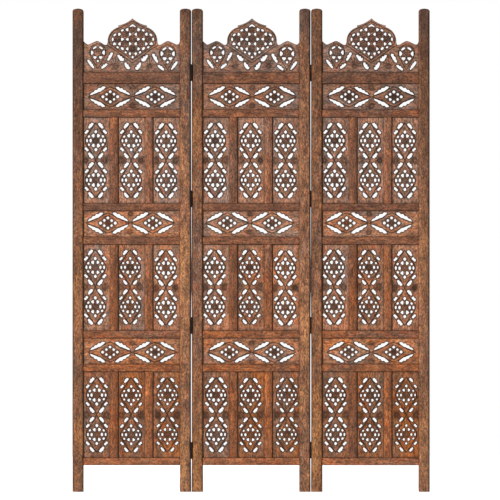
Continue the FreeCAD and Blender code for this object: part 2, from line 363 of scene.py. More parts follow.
def star_pattern(level, pitch):
    """Draw one of a tall board's two stars: 14 holes and a boss in a diamond of 8 slots."""
    quarter = [
        wedge((8.5, 16.9), 10.2, 12.4, 242),
        blob((23.7, 14.1), 9.0, 7.2, 128, power=2.6),
        blob((16.6, 50.7), 24.0, 10.3, -50, power=2.5, taper=-0.16, bend=0.9, count=26, lobes=3),
        blob((31.0, 29.6), 17.0, 8.7, -46, power=2.5, taper=-0.1, bend=0.6, count=20, lobes=2),
    ]
    pole = blob((0, 30.7), 12.0, 10.6, 90, power=1.6)
    holes = [mirrored(shape, x, z) for shape in quarter for x, z in quarters]
    for side in blob((17.6, 0), 12.6, 8.6, 90, power=2.2), blob((30.2, 0), 12.2, 6.9, 90):
        holes += [side, mirrored(side)]
    holes += [pole, mirrored(pole, False, True)]
    side_run = [(11.4, 44.4), (24.6, 24.2), (33.8, 11.6), (36.6, 0)]
    outer_rib = smooth([(0, 61.0)] + side_run)
    waist_rib = smooth([(0.4, pitch / 2), (3.2, 59.6)] + side_run)
    fine = [(0, 46.5), (13.4, 32.4), (25.6, 21.6)]
    cuts = []
    for x, z in quarters:
        rib = waist_rib if z == (level > 0) else outer_rib
        cuts += [groove(mirrored(rib, x, z), 5.0, 2.2),
                 groove(mirrored(fine, x, z), 2.0, 1.0, stain=0.8)]
    cuts += flower((0.0, 0.0), 11.0, 8, 0.62, 22.5)
    cuts += shade((0.0, 0.0), (44.0, 42.0), 0.36)
    return moved(holes, cuts, (0, level * pitch / 2))


def tall_board_pattern(pitch):
    """Draw a tall board's two stars and the half-hidden flowers beside its waist."""
    holes = []
    cuts = []
    for level in (-1, 1):
        star_holes, star_cuts = star_pattern(level, pitch)
        holes += star_holes
        cuts += star_cuts
    for side in (-1, 1):
        centre = (side * 34.0, 0.0)
        cuts += flower(centre, 8.2, 8, 0.62, line_stain=0.7)
        cuts += shade(centre, (21.0, 22.0), 0.5)
        cuts += rays(centre, 9.4, 15.0, 180 if side > 0 else 0, range(-125, 126, 25), 1.9)
    cuts += corner_rays(37.0, 128.0, 5.0, (-50, -25, 0, 25, 50))
    return holes, cuts


def frieze_pattern(pitch):
    """Draw a frieze's two rosettes, each in a long diamond of four leaves."""
    leaf = blob((43.0, 20.4), 59.0, 10.2, -28, power=1.9, taper=-0.24, bend=0.6, bump=1.4,
                count=48, lobes=4)
    ring = blob((12.7, 8.7), 8.8, 8.2, 125)
    holes = [mirrored(shape, x, z) for shape in (leaf, ring) for x, z in quarters]
    for x, z, radius in (25.2, 0, 5.0), (-25.2, 0, 5.0), (0, 17.2, 4.8), (0, -17.2, 4.8):
        holes.append(circle((x, z), radius, 14))
    rib = smooth([(0, 34.6), (18.0, 26.4), (42.0, 12.6), (75.4, 0)])
    halo = smooth([(0, 25.8), (15.8, 18.4), (26.0, 9.6), (34.6, 0)])
    cuts = []
    for x, z in quarters:
        cuts += [groove(mirrored(rib, x, z), 4.2, 2.0),
                 groove(mirrored(halo, x, z), 2.2, 1.1, stain=0.8)]
    cuts += flower((0.0, 0.0), 7.6, 6, 0.85, 30)
    cuts += shade((0.0, 0.0), (44.0, 32.0), 0.52)
    every_hole = []
    every_cut = []
    for side in (-1, 1):
        side_holes, side_cuts = moved(holes, cuts, (side * pitch / 2, 0))
        every_hole += side_holes
        every_cut += side_cuts
    for level in (-1, 1):
        centre = (0, level * 31.5)
        every_cut += flower(centre, 8.0, 8, 0.55, line_stain=0.6)
        every_cut += shade(centre, (24.0, 17.0), 0.45)
        every_cut += rays(centre, 9.0, 14.5, -90 * level, (-60, -30, 0, 30, 60))
    every_cut += corner_rays(152.0, 38.0, 4.0, (-40, 0, 40))
    return every_hole, every_cut


# The crest is drawn about the middle of its foot. Its outline's right half:
crest_dome = (
    ((22.0, 169.5), (49.4, 160.8)),
    ((74.6, 137.4), (84.9, 104.0)),
)
crest_step = (48.0, 154.8)
crest_arch = (
    (88.0, 94.9), (96.2, 94.9), (106.8, 101.6), (121.4, 107.6), (136.6, 101.8), (151.6, 95.5),
    (158.6, 99.0),
)
crest_apex = (0.0, 185.0)
crest_side = 103.6
crest_post_height = 106.9
crest_rim_width = 7.0
crest_rim_stain = 0.6


def crest_outline(half_width, half_opening, foot, shift):
    """Draw the crest's outline, down into the groove of the rail below.

    The curves are shifted sideways; the ends stay at the posts."""
    halves = []
    for side in (1, -1):
        post = half_opening - side * shift
        end = half_width - side * shift
        line = [crest_apex] + arc(crest_apex, *crest_dome[0], 12)
        line += [crest_step] + arc(crest_step, *crest_dome[1], 14)
        line += smooth(crest_arch + ((post, crest_post_height),), 4).tolist()
        line += [(post, crest_side), (end, crest_side), (end, foot)]
        half = np.array(line)
        halves.append((half if side > 0 else mirrored(half)) + (shift, 0))
    right, left = halves
    return np.vstack([right, left[::-1][:-1]])


def crest_holes():
    """Draw the crest's holes, each part as it lies on its own side."""
    parts = {"outer": [
        blob((95.8, 20.0), 29.5, 10.2, -38, power=2.1, bend=0.6, count=28, lobes=3),
        blob((76.4, 52.6), 38.5, 10.6, -60.5, power=2.4, taper=-0.12, count=32, lobes=3),
    ], "inner": [
        blob((41.4, 50.4), 32.0, 12.4, 43, power=2.2, taper=-0.3, bend=-0.6, bump=2.2,
             count=32, lobes=3),
        blob((19.2, 23.0), 31.0, 12.2, 56, power=2.3, taper=-0.22, bend=-1.6, count=28, lobes=3),
    ], "dome": [
        blob((35.6, 145.2), 11.4, 8.0, -28, power=2.8), wedge((19.4, 147.6), 10.6, 12.0, 0),
        blob((62.0, 129.4), 13.6, 7.4, -44), wedge((46.2, 132.0), 9.6, 11.4, 180),
        wedge((9.9, 131.6), 9.6, 12.0, 180), blob((69.2, 114.4), 12.8, 6.8, 90),
        wedge((36.0, 115.0), 10.6, 10.8, 180), wedge((18.8, 114.6), 10.4, 10.8, 0),
        wedge((62.8, 99.0), 12.2, 10.2, 200), wedge((45.6, 98.8), 9.8, 12.0, 0),
        wedge((9.9, 99.0), 9.2, 12.0, 180), blob((52.6, 87.0), 9.8, 7.2, 40),
        blob((36.0, 82.9), 13.2, 8.8, 48), wedge((18.9, 81.6), 9.4, 12.0, 0),
        blob((24.5, 69.8), 8.8, 7.4, 40), wedge((9.8, 65.0), 9.2, 11.4, 30),
    ], "arch": [
        blob((110.0, 85.2), 16.2, 6.8, 34, bend=0.8), blob((130.8, 85.2), 16.2, 6.8, -34, bend=0.8),
        wedge((100.4, 68.8), 9.6, 16.0, 0), wedge((140.6, 68.8), 9.6, 16.0, 180),
        wedge((110.5, 52.2), 13.0, 10.8, -90), wedge((130.3, 52.2), 13.0, 10.8, -90),
        blob((120.4, 39.9), 8.4, 8.0, 90, power=1.8),
    ]}
    holes = [
        np.array([(-10.8, 154.4), (-11.6, 158.2), (-5.6, 162.8), (0, 166.4), (5.6, 162.8),
                  (11.6, 158.2), (10.8, 154.4), (4.8, 157.0), (0, 158.4), (-4.8, 157.0)]),
        blob((0, 52.6), 9.6, 8.6, 90, power=1.6),
    ]
    for part, shapes in parts.items():
        for side, (x, z, size) in crest_fits[part].items():
            end_slot = blob((141.7, 27.6), 42.5, 10.2, 53.5, power=2.1, taper=slot_tapers[side],
                            count=32, lobes=4)
            for shape in shapes + ([end_slot] if part == "outer" else []):
                hole = shape if side > 0 else mirrored(shape)
                middle = hole.mean(axis=0)
                holes.append(middle + (hole - middle) * size + np.array([x, z]))
    return holes


def crest_cuts():
    """Draw the crest's cuts: the dome's rim, its vee, nine bosses and the small arches."""
    rim = smooth([(0, 174.6), (20.5, 164.2), (43.5, 152.6), (60.6, 144.4), (74.6, 130.4),
                  (80.4, 113.8), (78.0, 97.4)])
    inner_vee = [(78.0, 97.4), (64.0, 87.6), (34.0, 67.0), (0, 42.6)]
    outer_vee = [(86.0, 92.0), (70.0, 83.4), (36.0, 58.6), (0, 32.4)]
    ring = smooth([(94.0, 62.0), (93.2, 76.0), (101.4, 91.6), (120.4, 98.8), (139.4, 91.6),
                   (147.6, 76.0), (146.8, 62.0), (137.4, 42.0), (120.4, 14.0)])
    tail = [(94.0, 62.0), (103.4, 42.0), (120.4, 14.0)]
    cuts = []
    for side in (1, -1):
        for line, width in ((rim, 3.6), (inner_vee, 3.2), (outer_vee, 3.8)):
            cuts.append(groove(mirrored(line, side < 0), width, 2.0))
        arch = [groove(mirrored(line, side < 0), 3.6, 2.0) for line in (ring, tail)]
        arch += flower((side * 120.4, 69.0), 12.4, 7, 0.16, 22.5, 1.0, 2.6, own_stain=True)
        arch += shade((side * 120.4, 66.0), (33.0, 36.0), 0.3)
        cuts += moved([], arch, crest_fits["arch"][side][:2])[1]
        cuts += flower((side * 57.5, 20.6), 8.0, 8, 0.5, line_stain=0.5)
        cuts += shade((side * 57.5, 20.6), (18.0, 18.0), 0.45)
        cuts += rays((side * 57.5, 18.6), 9.6, 34.0, 90, (-20, 0, 20), 2.8, 1.3)
        cuts += rays((side * 57.5, 18.6), 9.6, 20.0, 90, (-60, -40, 40, 60), 1.7)
    for i in (-1, 0, 1):
        for j in (-1, 0, 1):
            boss = ((i - j) * 25.8, 115.0 + (i + j) * 16.8)
            cuts += flower(boss, 10.8, 7, 0.5, 22.5, 1.0, 2.2, own_stain=True)
    return cuts


# Turning a drawn pattern into a carved solid

def unit(steps):
    """Give each step a length of one."""
    return steps / np.linalg.norm(steps, axis=1, keepdims=True)


def offset(line, gap, closed):
    """Shift a line sideways by a gap; a counterclockwise loop grows."""
    if closed:
        before = unit(line - np.roll(line, 1, axis=0))
        after = np.roll(before, -1, axis=0)
    else:
        steps = unit(np.diff(line, axis=0))
        before = np.vstack([steps[:1], steps])
        after = np.vstack([steps, steps[-1:]])
    way = unit(before + after)
    lean = np.clip((way * before).sum(axis=1, keepdims=True), 0.5, 1)
    return line + np.stack([way[:, 1], -way[:, 0]], axis=1) * gap / lean


def distance(points, line, closed):
    """Measure how far each point lies from a line."""
    start = line if closed else line[:-1]
    end = np.roll(line, -1, axis=0) if closed else line[1:]
    step = end - start
    reach = points[:, None, :] - start[None]
    share = np.clip((reach * step).sum(-1) / (step ** 2).sum(-1), 0, 1)
    return np.linalg.norm(reach - share[..., None] * step, axis=-1).min(axis=1)


def inside(points, loop):
    """Tell which points lie inside a loop."""
    x, z = points[:, :1], points[:, 1:]
    x1, z1 = loop.T
    x2, z2 = np.roll(loop, -1, axis=0).T
    rise = np.where(z2 == z1, 1, z2 - z1)
    crosses = ((z1 > z) != (z2 > z)) & (x < x1 + (z - z1) * (x2 - x1) / rise)
    return crosses.sum(axis=1) % 2 == 1


def counterclockwise(loop):
    """Give a loop in counterclockwise order."""
    x, z = loop.T
    area = (x * np.roll(z, -1) - np.roll(x, -1) * z).sum()
    return loop if area > 0 else loop[::-1]


def carve(outline, holes, cuts, half_depth):
    """Make a carved and pierced board, the same on both faces.

    Gives its points, its faces, and how dark each point is painted, with stain and painted shade."""
    points = []
    edges = []

    def draw(line, closed):
        first = len(points)
        count = len(line)
        points.extend(Vector(point) for point in line)
        for number in range(count if closed else count - 1):
            edges.append((first + number, first + (number + 1) % count))

    holes = [counterclockwise(hole) for hole in holes]
    draw(outline, True)
    for hole in holes:
        draw(hole, True)
        draw(offset(hole, edge_width, True), True)
        draw(offset(hole[::2], stain_and_shade_width, True), True)
    for cut in cuts:
        for side in (-0.5, 0, 0.5) if cut["width"] else (0,):
            draw(offset(cut["line"], side * cut["width"], cut["closed"]), cut["closed"])
    corners, _, faces, *_ = delaunay_2d_cdt(points, edges, [], 0, merge_distance)
    flat = np.array([tuple(corner) for corner in corners])
    faces = np.array(faces)
    middles = flat[faces].mean(axis=1)
    kept = inside(middles, outline)
    for hole in holes:
        kept &= ~inside(middles, hole)
    faces = faces[kept]
    used, faces = np.unique(faces, return_inverse=True)
    faces = faces.reshape(-1, 3)
    flat = flat[used]

    # Each point's depth, and how dark it is painted: stain and painted shade in the low ground,
    # around the holes, along the grooves and by the frame
    depth = np.zeros(len(flat))
    stain = np.zeros(len(flat))
    spread = np.ones(len(flat))
    for cut in cuts:
        if "shade" in cut:
            centre, reach, amount = cut["shade"]
            away = np.linalg.norm((flat - centre) / np.array(reach), axis=1)
            stain = np.maximum(stain, amount * np.clip(shade_fade * (1 - away), 0, 1))
    for cut in cuts:
        if "ground" in cut:
            centre, radius, heart, amount = cut["ground"]
            away = np.linalg.norm(flat - centre, axis=1)
            stain[away < radius] = amount
            stain[away < heart] = amount * heart_stain_share
            depth[away < radius] = ground_depth
            if cut["own_stain"]:
                spread[away < radius] = flower_spread
    for hole in holes:
        away = distance(flat, hole, True)
        depth = np.maximum(depth, edge_depth * np.clip(1 - away / edge_width, 0, 1) ** 1.5)
        stain = np.maximum(stain, spread * np.clip(1 - away / stain_and_shade_width, 0, 1))
    for cut in [cut for cut in cuts if cut["width"]]:
        near = np.clip(1 - 2 * distance(flat, cut["line"], cut["closed"]) / cut["width"], 0, 1)
        depth = np.maximum(depth, cut["depth"] * near)
        stain = np.maximum(stain, cut["stain"] * near)

    first, second, third = flat[faces].transpose(1, 0, 2)
    turn = np.cross(second - first, third - first)
    faces[turn < 0] = faces[turn < 0][:, ::-1]
    count = len(flat)
    front = np.stack([flat[:, 0], depth - half_depth, flat[:, 1]], axis=1)
    back = np.stack([flat[:, 0], half_depth - depth, flat[:, 1]], axis=1)
    sides = np.vstack([faces[:, [0, 1]], faces[:, [1, 2]], faces[:, [2, 0]]])
    there = {tuple(side) for side in sides.tolist()}
    walls = [(b, a, a + count, b + count) for a, b in there if (b, a) not in there]
    solid_faces = faces.tolist() + (faces[:, ::-1] + count).tolist() + walls
    return np.vstack([front, back]), solid_faces, np.concatenate([stain, stain])


# Making objects

def grain_place(points, along, shift):
    """Give each point its place in the timber, with the grain along the last axis."""
    order = {"x": (2, 1, 0), "z": (0, 1, 2)}[along]
    return points[:, order] + np.array(shift)


def timber_place(hand):
    """Draw at random where in the timber a piece was cut."""
    return [hand.uniform(-timber_reach, timber_reach) for _ in range(3)]


def add_object(name, data):
    """Put a new object in the scene."""
    made = bpy.data.objects.new(name, data)
    bpy.context.scene.collection.objects.link(made)
    return made


def add_piece(mesh, body, material):
    """Put a mesh in the scene, on the body that it moves with."""
    mesh.materials.append(material)
    piece = add_object(mesh.name, mesh)
    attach(piece, body)
    return piece


def finish_piece(mesh, node, body, slot, materials):
    """Put a mesh in the scene in place of a node."""
    mesh.shade_smooth()
    mesh.set_sharp_from_angle(angle=smooth_angle)
    piece = add_piece(mesh, body, materials[slot])
    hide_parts(node)
    return piece


def add_wood_values(mesh, stain, grain, look):
    """Store all that the wood's material reads, for each point of a mesh."""
    mesh.attributes.new("grain", "FLOAT_VECTOR", "POINT").data.foreach_set("vector", grain.ravel())
    for name, values in (("stain", stain), ("richness", look[:, 0]), ("lightness", look[:, 1])):
        mesh.attributes.new(name, "FLOAT", "POINT").data.foreach_set("value", values)


def joined(name, solids):
    """Join solids, each given by its points and faces, into one mesh."""
    points = []
    faces = []
    for own_points, own_faces in solids:
        faces += [[corner + len(points) for corner in face] for face in own_faces]
        points += own_points.tolist()
    mesh = bpy.data.meshes.new(name)
    mesh.from_pydata(points, [], faces)
    return mesh


def edited_mesh(name, bm):
    """Turn an edited mesh into a stored one."""
    mesh = bpy.data.meshes.new(name)
    bm.to_mesh(mesh)
    bm.free()
    return mesh


def round_edges(bm, edges, width, segments):
    """Round edges off, by a width in millimetres."""
    bmesh.ops.bevel(bm, geom=edges, offset=width * MM, segments=segments, profile=0.5,
                    affect="EDGES", clamp_overlap=True)


def carved_piece(node, boards, along, body, materials, hand):
    """Join carved boards, each given with its place and look, into one piece for a node."""
    solids = [(points * MM + (x, 0, z), faces) for (points, faces, _), (x, z), _ in boards]
    mesh = joined(f"{node}_carved", solids)
    grains = [grain_place(points, along, timber_place(hand)) for points, _ in solids]
    looks = [np.tile(look, (len(points), 1)) for (points, _, _), _, look in boards]
    stain = np.concatenate([stain for (_, _, stain), _, _ in boards])
    add_wood_values(mesh, stain, np.vstack(grains), np.vstack(looks))
    finish_piece(mesh, node, body, "board_wood", materials)


def islands(bm):
    """Group the points of a mesh by the solid that they belong to."""
    group = {}
    groups = 0
    for seed in bm.verts:
        if seed in group:
            continue
        group[seed] = groups
        waiting = [seed]
        while waiting:
            for edge in waiting.pop().link_edges:
                for corner in edge.verts:
                    if corner not in group:
                        group[corner] = groups
                        waiting.append(corner)
        groups += 1
    return [group[corner] for corner in bm.verts], groups


def side_stain_and_shade(points, group, groups, sides):
    """Darken the sides of each solid against its neighbours: dark joints and end grain, and painted
    shade where the neighbours and the light leave it in shadow.
    """
    stain = np.zeros(len(points))
    for number in range(groups):
        own = group == number
        x, z = points[own, 0], points[own, 2]
        away = {"left": x - x.min(), "right": x.max() - x, "lower": z - z.min(),
                "upper": z.max() - z}
        for side, (amount, reach) in sides.items():
            near = np.clip(1 - away[side] / (reach * MM), 0, 1)
            stain[own] = np.maximum(stain[own], amount * near)
    return stain


def bow(bm, side):
    """Bend the side of a post that faces its neighbour, on one side of x, towards it."""
    for height in bow_heights:
        bmesh.ops.bisect_plane(bm, geom=bm.verts[:] + bm.edges[:] + bm.faces[:],
                               plane_co=(0, 0, height), plane_no=(0, 0, 1))
    middle = sum(corner.co.x for corner in bm.verts) / len(bm.verts)
    for corner in bm.verts:
        if side * (corner.co.x - middle) > 0:
            corner.co.x += side * MM * float(np.interp(corner.co.z, bow_heights, bow_reaches))


def softened_piece(node, kind, looks, body, materials, hand, bow_side=0):
    """Copy a node's solids and round their sharp edges, as sanding does.

    The looks are given from the lowest solid up, and from left to right."""
    kind = kinds[kind]
    bm = bmesh.new()
    bm.from_mesh(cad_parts[node].data)
    bmesh.ops.remove_doubles(bm, verts=bm.verts, dist=weld_distance)
    bmesh.ops.dissolve_limit(bm, angle_limit=flat_angle, verts=bm.verts, edges=bm.edges)
    sharp = [side for side in bm.edges if side.calc_face_angle(0) > sharp_angle]
    round_edges(bm, sharp, kind["edge"], 3)
    if bow_side:
        bow(bm, bow_side)
    bmesh.ops.triangulate(bm, faces=[face for face in bm.faces if len(face.verts) > 4])
    group, groups = islands(bm)
    mesh = edited_mesh(f"{node}_wood", bm)
    points = np.array([corner.co for corner in mesh.vertices])
    group = np.array(group)
    middles = np.array([points[group == number].mean(axis=0) for number in range(groups)])
    order = np.lexsort((middles[:, 0], middles[:, 2].round(2)))
    shifts = np.zeros((len(points), 3))
    look = np.zeros((len(points), 2))
    for number, own_look in zip(order, looks):
        own = group == number
        shifts[own] = timber_place(hand)
        look[own] = own_look[:2]
        if kind["along"] == "z":
            x = points[own, 0]
            across = 2 * (x - x.min()) / (x.max() - x.min()) - 1
            look[own, 1] *= 1 + own_look[2] / 2 * across
    stain = side_stain_and_shade(points, group, groups, kind["sides"])
    add_wood_values(mesh, stain, grain_place(points, kind["along"], shifts), look)
    piece = finish_piece(mesh, node, body, kind["wood"], materials)
    piece.modifiers.new("even_shading", "WEIGHTED_NORMAL").keep_sharp = True


# Hinges

def add_plate(bm, axis, *ends):
    """Add a plate with eased edges, between its ends in x, y and z from an axis."""
    low, high = [axis + Vector(corner) for corner in zip(*map(sorted, ends))]
    corners = bmesh.ops.create_cube(bm, size=1.0)["verts"]
    for corner in corners:
        for way in range(3):
            corner.co[way] = high[way] if corner.co[way] > 0 else low[way]
    edges = list({edge for corner in corners for edge in corner.link_edges})
    round_edges(bm, edges, leaf_edge, 2)


def add_barrel(bm, axis, radius, bore, low, high):
    """Add a round hinge knuckle with a bore and eased ends."""
    ease = leaf_edge * MM
    profile = ((bore, low), (radius - ease, low), (radius, low + ease), (radius, high - ease),
               (radius - ease, high), (bore, high))
    rings = []
    for reach, height in profile:
        ring = []
        for number in range(knuckle_sides):
            angle = 2 * math.pi * number / knuckle_sides
            ring.append(bm.verts.new((axis.x + reach * math.cos(angle),
                                      axis.y + reach * math.sin(angle), height)))
        rings.append(ring)
    for inner, outer in zip(rings, rings[1:] + rings[:1]):
        for number in range(knuckle_sides):
            after = (number + 1) % knuckle_sides
            bm.faces.new((inner[number], outer[number], outer[after], inner[after]))


def plate_corners(node, axis):
    """Give the corners of a node's hinge plates, from the ends that lie farthest back."""
    places = [corner.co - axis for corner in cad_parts[node].data.vertices]
    far = max((place.y for place in places), key=abs)
    ends = [place for place in places if abs(place.y - far) < knuckle_gap * MM]
    near_x, far_x = sorted({round(place.x, 6) for place in ends}, key=abs)
    heights = sorted({round(place.z, 6) for place in ends})
    return near_x, far_x, far, list(zip(heights[::2], heights[1::2]))


def hinge_side(joint, part, own_knuckles, body, materials, hand):
    """Make the plates, knuckles and screws on one side of a joint."""
    node = f"{joint}_{part}_leaves"
    pin_low, pin_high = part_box(f"{joint}_pins")
    axis = Vector(((pin_low.x + pin_high.x) / 2, (pin_low.y + pin_high.y) / 2, 0))
    near_x, far_x, far_y, spans = plate_corners(node, axis)
    back = math.copysign(1, far_y)
    low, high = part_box(node)
    radius = min(high.y - axis.y, axis.y - low.y)
    bore = (pin_high.x - pin_low.x) / 2 + pin_slack * MM
    near_y = back * (radius + knuckle_gap * MM)
    web_ends = (back * (bore + radius) / 2, near_y + back * leaf_edge * MM * 2)
    bm = bmesh.new()
    for bottom, top in spans:
        add_plate(bm, axis, (near_x, far_x), (near_y, far_y), (bottom, top))
        length = (top - bottom + knuckle_gap * MM) / knuckles
        for number in own_knuckles:
            start = bottom + number * length
            stop = start + length - knuckle_gap * MM
            add_barrel(bm, axis, radius, bore, start, stop)
            add_plate(bm, axis, (near_x, far_x), web_ends, (start, stop))
    bmesh.ops.recalc_face_normals(bm, faces=bm.faces)
    finish_piece(edited_mesh(f"{node}_iron", bm), node, body, "iron", materials)
    middle_y = axis.y + (near_y + far_y) / 2
    places = [(axis.x + near_x, middle_y + back * step * screw_radius * MM,
               bottom + (top - bottom) * (0.5 + step * screw_share))
              for bottom, top in spans for step in (-1, 1)]
    heads = [screw_head(place, -math.copysign(1, near_x), hand) for place in places]
    add_piece(joined(f"{joint}_{part}_screws", heads), body, materials["screw_steel"])


def screw_head(place, facing, hand):
    """Make a screw's slotted head, which faces along x or against it."""
    way = direction(math.degrees(hand.uniform(0, math.pi))) * screw_radius * slot_overrun
    slot = groove([-way, way], screw_slot, screw_slot / 2)
    points, faces, _ = carve(circle((0, 0), screw_radius, 20), [], [slot], screw_rise)
    turned = np.stack([-facing * points[:, 1], facing * points[:, 0], points[:, 2]], axis=1)
    return turned * MM + place, faces


def dress_hinges(name, materials, hand):
    """Make one joint's hinges."""
    joint = f"{name}_hinge"
    hinge_side(joint, "centre", (0, 2), "centre_panel", materials, hand)
    hinge_side(joint, "outer", (1,), f"{name}_panel", materials, hand)
    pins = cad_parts[f"{joint}_pins"]
    pins.data.materials.clear()
    pins.data.materials.append(materials["iron"])


# Materials

def linear(red, green, blue):
    """Turn a colour as seen on a screen, 0 to 255, into the linear one that shaders use."""
    return tuple(((value / 255 + 0.055) / 1.055) ** 2.4 for value in (red, green, blue)) + (1.0,)


class Shading:
    """Adds nodes to a material, each joined to what feeds it."""

    def __init__(self, name):
        self.material = bpy.data.materials.new(name)
        self.material.use_nodes = True
        self.tree = self.material.node_tree

    def surface(self, **inputs):
        """Finish the material with what feeds its shader."""
        self.feed_all(self.tree.nodes["Principled BSDF"], inputs)
        return self.material

    def node(self, kind, settings=None, **inputs):
        """Add a node; an input is a value or another node's output."""
        made = self.tree.nodes.new(kind)
        for key, value in (settings or {}).items():
            setattr(made, key, value)
        self.feed_all(made, inputs)
        return made

    def feed_all(self, made, inputs):
        """Feed a node's sockets by their names, with _ for each space."""
        for key, value in inputs.items():
            self.feed(made.inputs[key.replace("_", " ")], value)

    def feed(self, socket, value):
        """Set a socket, or join it to an output."""
        if isinstance(value, bpy.types.NodeSocket):
            self.tree.links.new(value, socket)
        else:
            socket.default_value = value

    def attribute(self, name, output):
        """Read a stored value."""
        return self.node("ShaderNodeAttribute", {"attribute_name": name}).outputs[output]

    def object_place(self):
        """Give the place on the object."""
        return self.node("ShaderNodeTexCoord").outputs["Object"]

    def math(self, operation, first, second):
        """Combine two numbers."""
        made = self.node("ShaderNodeMath", {"operation": operation})
        self.feed(made.inputs[0], first)
        self.feed(made.inputs[1], second)
        return made.outputs[0]

    def ramp(self, value, low, high, to_low=0.0, to_high=1.0):
        """Turn values from low to high into a smooth step."""
        made = self.node("ShaderNodeMapRange", {"interpolation_type": "SMOOTHSTEP"},
                         Value=value, From_Min=low, From_Max=high, To_Min=to_low,
                         To_Max=to_high)
        return made.outputs[0]

    def mix(self, share, first, second):
        """Mix two colours."""
        made = self.node("ShaderNodeMix", {"data_type": "RGBA"})
        for index, value in ((0, share), (6, first), (7, second)):
            self.feed(made.inputs[index], value)
        return made.outputs[2]

    def noise(self, place, across, along, detail=3.0, roughness=0.55, distortion=0.0):
        """Add cloudy noise, as fine as two factors say, across the grain and along it."""
        scaled = self.node("ShaderNodeMapping", Vector=place, Scale=(across, across, along))
        made = self.node("ShaderNodeTexNoise", Vector=scaled.outputs[0], Scale=1.0,
                         Detail=detail, Roughness=roughness, Distortion=distortion)
        return made.outputs[0]

    def bump(self, relief, strength, height):
        """Raise the surface a little by a value."""
        return self.node("ShaderNodeBump", Height=relief, Strength=strength,
                         Distance=height).outputs[0]


def make_wood(name, tones, patch_size, speck_strength, streak_strength, end_lights):
    """Make oiled, stained mango wood: streaked grain, patches of colour and dark pores.

    tones is grey-brown, mid-brown, tan, red-brown, olive, the streaks' dark and the colour of stain
    and painted shade, which darkened places are mixed towards;
    end_lights is how light the wood is near the floor and at the top."""
    wood = Shading(name)
    grey, brown, tan, red, olive, dark, stain_and_shade_tone = [linear(*tone) for tone in tones]
    place = wood.attribute("grain", "Vector")
    stain = wood.attribute("stain", "Fac")
    height = wood.node("ShaderNodeSeparateXYZ", Vector=wood.object_place()).outputs["Z"]
    patches = wood.noise(place, 1 / patch_size, 0.3 / patch_size, 2.0, distortion=0.6)
    warmth = wood.math("ADD", patches, wood.ramp(height, 0.2, 1.5, 0.05, -0.05))
    blotches = wood.noise(place, 85.0, 38.0, 3.0, 0.6, 1.0)
    flecks = wood.noise(place, 160.0, 70.0, 2.0, distortion=0.6)
    streaks = wood.noise(place, 240.0, 20.0, 4.0, 0.65, 0.7)
    pores = wood.noise(place, 900.0, 40.0, 2.0)
    specks = wood.noise(place, 190.0, 90.0, 1.0)
    clouds = wood.noise(place, 60.0, 22.0)
    mottle = wood.noise(place, 290.0, 125.0, 3.0, 0.6)
    colour = grey
    for value, low, high, strength, tone in (
            (warmth, 0.34, 0.50, 1.0, brown), (warmth, 0.50, 0.70, 1.0, tan),
            (blotches, 0.52, 0.68, 0.7, red), (blotches, 0.46, 0.30, 0.75, olive),
            (flecks, 0.52, 0.70, 0.75, tan), (flecks, 0.46, 0.28, 0.75, grey),
            (streaks, 0.52, 0.30, streak_strength, dark), (pores, 0.46, 0.28, 0.6, dark),
            (specks, 0.42, 0.28, speck_strength, dark)):
        colour = wood.mix(wood.ramp(value, low, high, 0.0, strength), colour, tone)
    light = wood.attribute("lightness", "Fac")
    for value, low, high, to_low, to_high in (
            (clouds, 0.3, 0.7, 0.66, 1.36), (mottle, 0.3, 0.7, 0.4, 1.62),
            (height, 0.3, 0.65, end_lights[0], 1.0), (height, 1.0, 1.5, 1.0, end_lights[1])):
        light = wood.math("MULTIPLY", light, wood.ramp(value, low, high, to_low, to_high))
    tint = wood.node("ShaderNodeHueSaturation", Value=light, Color=colour,
                     Saturation=wood.attribute("richness", "Fac")).outputs[0]
    gloss = wood.ramp(streaks, 0.3, 0.7, 0.6, 0.42)
    relief = wood.math("ADD", wood.math("MULTIPLY", streaks, 0.6),
                       wood.math("MULTIPLY", pores, 0.4))
    # The base colour is mixed towards the dark tone by the stored stain and painted shade
    return wood.surface(
        Base_Color=wood.mix(wood.ramp(stain, 0.04, 0.78, 0.0, 0.87), tint, stain_and_shade_tone),
        Roughness=wood.math("ADD", gloss, wood.math("MULTIPLY", stain, 0.25)),
        Normal=wood.bump(relief, 0.35, 0.0006), Specular_IOR_Level=0.2)


def make_iron(name):
    """Make blackened iron with a few worn and rusty places."""
    iron = Shading(name)
    place = iron.object_place()
    wear = iron.noise(place, 90.0, 90.0, 4.0, 0.6)
    worn = iron.ramp(wear, 0.55, 0.75, 0.0, 0.6)
    return iron.surface(
        Base_Color=iron.mix(worn, linear(30, 28, 27), linear(74, 56, 46)), Metallic=0.85,
        Roughness=iron.ramp(wear, 0.3, 0.8, 0.42, 0.68),
        Normal=iron.bump(iron.noise(place, 700.0, 700.0, 2.0), 0.25, 0.0003))


def make_steel(name):
    """Make the dull, darkened steel of screw heads."""
    steel = Shading(name)
    wear = steel.noise(steel.object_place(), 400.0, 400.0, 3.0, 0.6)
    worn = steel.ramp(wear, 0.4, 0.7)
    return steel.surface(
        Base_Color=steel.mix(worn, linear(70, 64, 60), linear(122, 114, 104)), Metallic=0.9,
        Roughness=steel.ramp(wear, 0.3, 0.8, 0.32, 0.55))


def make_floor_material():
    """Make the floor's plain pale surface."""
    return Shading("pale_floor").surface(
        Base_Color=(0.93, 0.93, 0.93, 1), Roughness=0.9, Emission_Color=(1, 1, 1, 1),
        Emission_Strength=floor_glow)


# The pieces of a panel

def opening_of(name):
    """Give the middle and half the width of a panel's opening, from its posts."""
    left_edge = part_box(f"{name}_panel_left_post")[1].x
    right_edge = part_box(f"{name}_panel_right_post")[0].x
    return (left_edge + right_edge) / 2, (right_edge - left_edge) / 2


def above_rail(name, number):
    """Give the middle and half the height of the opening above one of a panel's rails."""
    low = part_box(f"{name}_panel_rail_{number}")[1].z
    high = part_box(f"{name}_panel_rail_{number + 1}")[0].z
    return (low + high) / 2, (high - low) / 2


